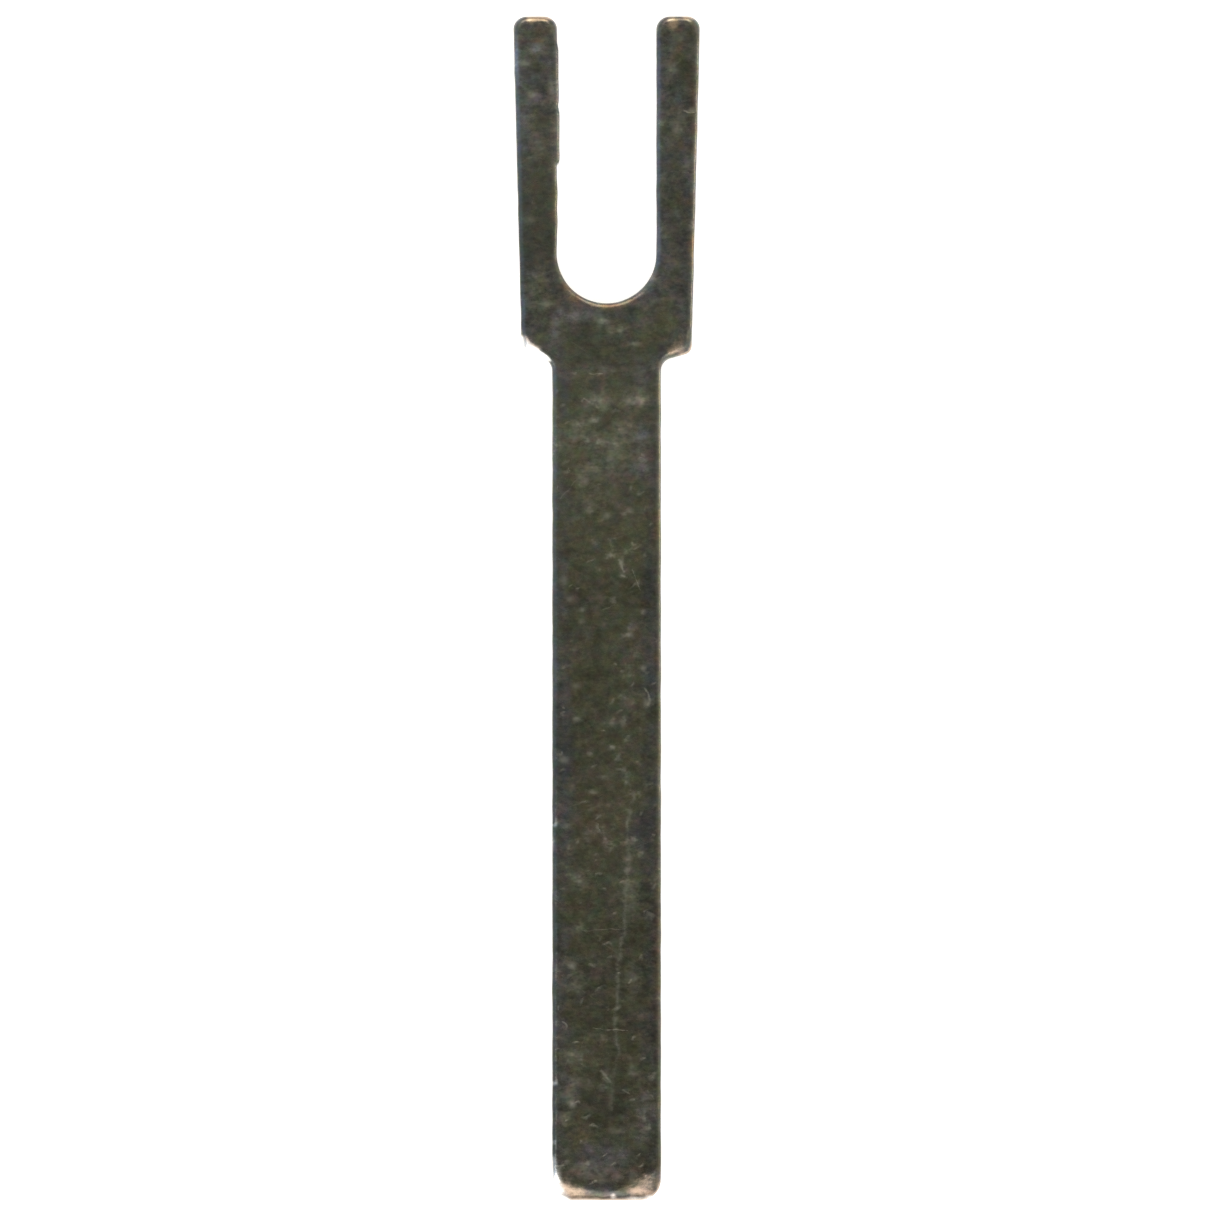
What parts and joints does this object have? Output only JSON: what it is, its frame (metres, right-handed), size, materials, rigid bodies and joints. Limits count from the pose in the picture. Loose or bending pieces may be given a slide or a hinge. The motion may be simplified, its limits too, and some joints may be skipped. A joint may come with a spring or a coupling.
{
  "type": "divot repair tool",
  "caption": "Flat two-pronged pocket fork for mending pitch marks: wide stepped head with a round-bottomed slot, plain straight handle, rolled edges, dark plated steel.",
  "frame": {"origin": "middle of the back face, half way along the tool and half way across it, with the tool lying on its back", "axes": "+Y from the end of the handle to the tips of the prongs, +Z out of the show side, +X to the right seen from above with the prongs pointing away"},
  "size_m": [0.014, 0.089, 0.002],
  "materials": {
    "plated_steel": "dark plating over a tumbled surface, polished, with paler worn corners"
  },
  "bodies": {
    "root": {"fork_body": "plated_steel"}
  },
  "joints": []
}
